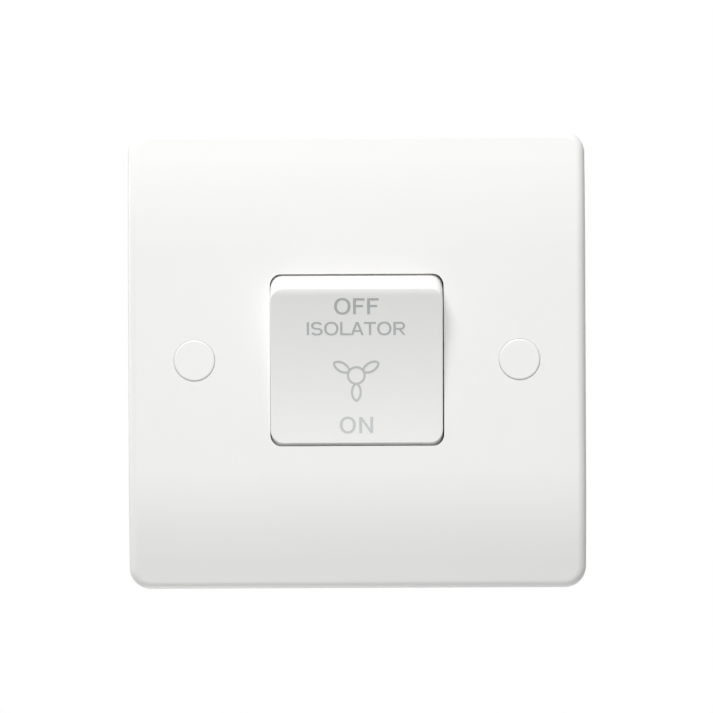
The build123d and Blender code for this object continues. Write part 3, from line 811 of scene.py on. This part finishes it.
class SWITCH_OT_springs(Operator):
    """Wind the plungers' springs in their rest pose; they don't shorten with the plungers"""

    bl_idname = "fan_switch.springs"
    bl_label = "Wind springs"

    def execute(self, context):
        settings = context.scene.switch_springs
        wire = bpy.data.materials["Drawn wire"]
        for pole in POLES:
            grid = coil_spring(settings, pole)
            points, faces = grid.reshape(-1, 3), tube_faces(*grid.shape[:2])
            spring = new_piece(f"plunger_coil_{pole}", points, faces, wire, None, smooth=True)
            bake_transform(spring)
            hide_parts(f"plunger_spring_{pole}")
        return {"FINISHED"}


class SWITCH_OT_legends(Operator):
    """Print OFF, ISOLATOR, the fan sign and ON on the rocker"""

    bl_idname = "fan_switch.legends"
    bl_label = "Print legends"

    def execute(self, context):
        settings = context.scene.switch_print
        ink = printed_ink(settings)
        thickness, aside = settings.ink_thickness, -settings.aside
        words = {
            "OFF": (settings.off_height, (0.0, settings.off_place)),
            "ISOLATOR": (settings.isolator_height, (aside, settings.isolator_place)),
            "ON": (settings.on_height, (aside, -settings.on_place)),
        }
        for text, (height, place) in words.items():
            stretch, weight, gaps = WORDS[text]
            strokes = word_strokes(text, height, stretch, gaps)
            stem, bar = weight * STEM * height, weight * BAR * height
            print_strokes("legend_" + text, strokes, place, stem, bar, thickness, ink)
        hub, reach, width = settings.hub_radius, settings.blade_length, settings.blade_width
        paths = [loop((0, 0), (hub, hub))]
        paths += [blade_path(hub, reach, width, radians(angle)) for angle in BLADE_ANGLES]
        sign = [(path, True, False) for path in paths]
        place, wide = (aside, -settings.sign_place), settings.sign_line
        print_strokes("legend_fan_sign", sign, place, wide, wide, thickness, ink)
        return {"FINISHED"}


class SWITCH_OT_screws(Operator):
    """Make the two fixing screws with their thread and driver slot"""

    bl_idname = "fan_switch.screws"
    bl_label = "Cut screw threads"

    def execute(self, context):
        settings = context.scene.switch_thread
        shank = threaded_shank(settings)
        head = screw_head()
        roots = (thread_shade_mask(shank, settings), np.zeros(head.shape[:2]))
        points, faces, count = [], [], 0
        for side in (-1, 1):
            place = np.array([side * SCREW_HALF_CENTRES, 0.0, 0.0])
            points += [shank.reshape(-1, 3) + place, head.reshape(-1, 3) + place]
            faces += tube_faces(*shank.shape[:2], first=count, turned=True)
            count += len(points[-2])
            faces += (grid_faces(*head.shape[:2], wrap_columns=True)[:, ::-1] + count).tolist()
            count += len(points[-1])
        zinc = zinc_with_painted_shade(settings)
        pair = new_piece("fixing_screw_pair", np.vstack(points), faces, zinc, "plate")
        # Depth in the thread for every point of both screws, the mask of the painted shade.
        shade_mask = np.concatenate([root.ravel() for root in roots] * 2)
        pair.data.attributes.new(PAINTED_SHADE_ATTRIBUTE, "FLOAT", "POINT").data.foreach_set("value", shade_mask)
        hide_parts("fixing_screws")
        return {"FINISHED"}


FLOOR_RINGS, FLOOR_SPOKES = 12, 64
FLOOR_EYE = 1.0 * MM         # radius of the innermost ring, which one face fills
SENSOR = 36.0                # width of the camera's sensor in millimetres


class SWITCH_OT_stage(Operator):
    """Set the floor, the light and the camera"""

    bl_idname = "fan_switch.stage"
    bl_label = "Set stage"

    def execute(self, context):
        settings = context.scene.switch_stage
        self.lay_floor(settings)
        self.hang_lamp("Upper left softbox", settings.key_power, settings.key_size, settings.key_place)
        self.hang_lamp("Front panel", settings.front_power, settings.front_size, settings.front_place)
        self.hang_lamp("Low card", settings.low_power, settings.card_size, settings.low_place)
        self.hang_lamp("Left card", settings.left_power, settings.card_size, settings.left_place)
        self.light_surround(context, settings.surround)
        self.place_camera(context, settings)
        context.scene.view_settings.view_transform = "Standard"
        return {"FINISHED"}

    def lay_floor(self, settings):
        """A round pale floor: a grid of rings and spokes."""
        radius = np.linspace(FLOOR_EYE, settings.floor_radius, FLOOR_RINGS)[:, None]
        angle = np.linspace(0, tau, FLOOR_SPOKES, endpoint=False)[None, :]
        level = np.full((FLOOR_RINGS, FLOOR_SPOKES), -settings.floor_drop)
        points = np.stack([radius * np.cos(angle), radius * np.sin(angle), level], axis=-1).reshape(-1, 3)
        faces = grid_faces(FLOOR_RINGS, FLOOR_SPOKES, wrap_columns=True)[:, ::-1].tolist()
        faces.append(list(range(FLOOR_SPOKES)))
        material, tree, shader = fresh_material("Pale floor")
        where = add(tree, "ShaderNodeTexCoord", -700, 0).outputs["Object"]
        matt = remap(tree, -250, 0, noise(tree, -500, 0, where, FLOOR_SCALE, 2.0), *FLOOR_ROUGHNESS)
        tree.links.new(matt, shader.inputs["Roughness"])
        shader.inputs["Base Color"].default_value = tint(settings.floor)
        floor = new_object("floor", points, faces, material)

    def hang_lamp(self, name, watts, size, place):
        """A square area lamp aimed at the middle of the plate."""
        lamp = bpy.data.lights.new(name, "AREA")
        lamp.energy = watts
        lamp.size = size
        holder = bpy.data.objects.new(name, lamp)
        holder.location = place
        holder.rotation_mode = "QUATERNION"
        holder.rotation_quaternion = holder.location.to_track_quat("Z", "Y")
        bpy.context.scene.collection.objects.link(holder)

    def light_surround(self, context, strength):
        """A white surround to the eye and to reflections, and a soft even light otherwise."""
        world = bpy.data.worlds.new("Surround")
        context.scene.world = world
        world.use_nodes = True
        tree = world.node_tree
        tree.nodes.clear()
        rays = add(tree, "ShaderNodeLightPath", -700, 0).outputs
        shown = arithmetic(tree, -450, 100, "MAXIMUM", rays["Is Camera Ray"], rays["Is Glossy Ray"])
        shown = arithmetic(tree, -250, 100, "MAXIMUM", shown, rays["Is Transmission Ray"])
        mix = add(tree, "ShaderNodeMixShader", 0, 0)
        tree.links.new(shown, mix.inputs[0])
        for place, level in ((1, strength), (2, 1.0)):
            sheet = add(tree, "ShaderNodeBackground", -250, 100 - 200 * place)
            sheet.inputs["Color"].default_value = (1.0, 1.0, 1.0, 1.0)
            sheet.inputs["Strength"].default_value = level
            tree.links.new(sheet.outputs["Background"], mix.inputs[place])
        out = add(tree, "ShaderNodeOutputWorld", 250, 0)
        tree.links.new(mix.outputs["Shader"], out.inputs["Surface"])

    def place_camera(self, context, settings):
        """A long lens straight in front of the plate."""
        lens = bpy.data.cameras.new("Camera")
        lens.sensor_width = SENSOR
        lens.lens = SENSOR * settings.distance / settings.frame_width
        lens.clip_start, lens.clip_end = 0.01, 20.0
        camera = bpy.data.objects.new("Camera", lens)
        camera.location = (settings.camera_x, -settings.distance, settings.camera_z)
        camera.rotation_euler = (radians(90), settings.roll, 0.0)
        context.scene.collection.objects.link(camera)
        context.scene.camera = camera


OPERATORS = (
    SWITCH_OT_mouldings, SWITCH_OT_metal, SWITCH_OT_springs, SWITCH_OT_legends, SWITCH_OT_screws,
    SWITCH_OT_stage)
SETTINGS = {
    "switch_mouldings": MouldingSettings,
    "switch_metal": MetalSettings,
    "switch_springs": SpringSettings,
    "switch_print": PrintSettings,
    "switch_thread": ThreadSettings,
    "switch_stage": StageSettings,
}


class SWITCH_PT_dressing(Panel):
    """The dressing steps and their settings."""

    bl_idname = "SWITCH_PT_dressing"
    bl_label = "Fan isolator switch"
    bl_space_type = "VIEW_3D"
    bl_region_type = "UI"
    bl_category = "Switch"

    def draw(self, context):
        for operator, holder in zip(OPERATORS, SETTINGS):
            box = self.layout.box()
            box.operator(operator.bl_idname)
            group = getattr(context.scene, holder)
            for name in group.bl_rna.properties.keys():
                if name not in {"rna_type", "name"}:
                    box.prop(group, name)


def register():
    for group in SETTINGS.values():
        bpy.utils.register_class(group)
    for name, group in SETTINGS.items():
        setattr(bpy.types.Scene, name, PointerProperty(type=group))
    for operator in OPERATORS:
        bpy.utils.register_class(operator)
    bpy.utils.register_class(SWITCH_PT_dressing)


def unregister():
    bpy.utils.unregister_class(SWITCH_PT_dressing)
    for operator in reversed(OPERATORS):
        bpy.utils.unregister_class(operator)
    for name, group in SETTINGS.items():
        delattr(bpy.types.Scene, name)
        bpy.utils.unregister_class(group)


def main():
    register()
    bpy.ops.fan_switch.mouldings()
    bpy.ops.fan_switch.metal()
    bpy.ops.fan_switch.springs()
    bpy.ops.fan_switch.legends()
    bpy.ops.fan_switch.screws()
    bpy.ops.fan_switch.stage()


if __name__ == "__main__":
    main()
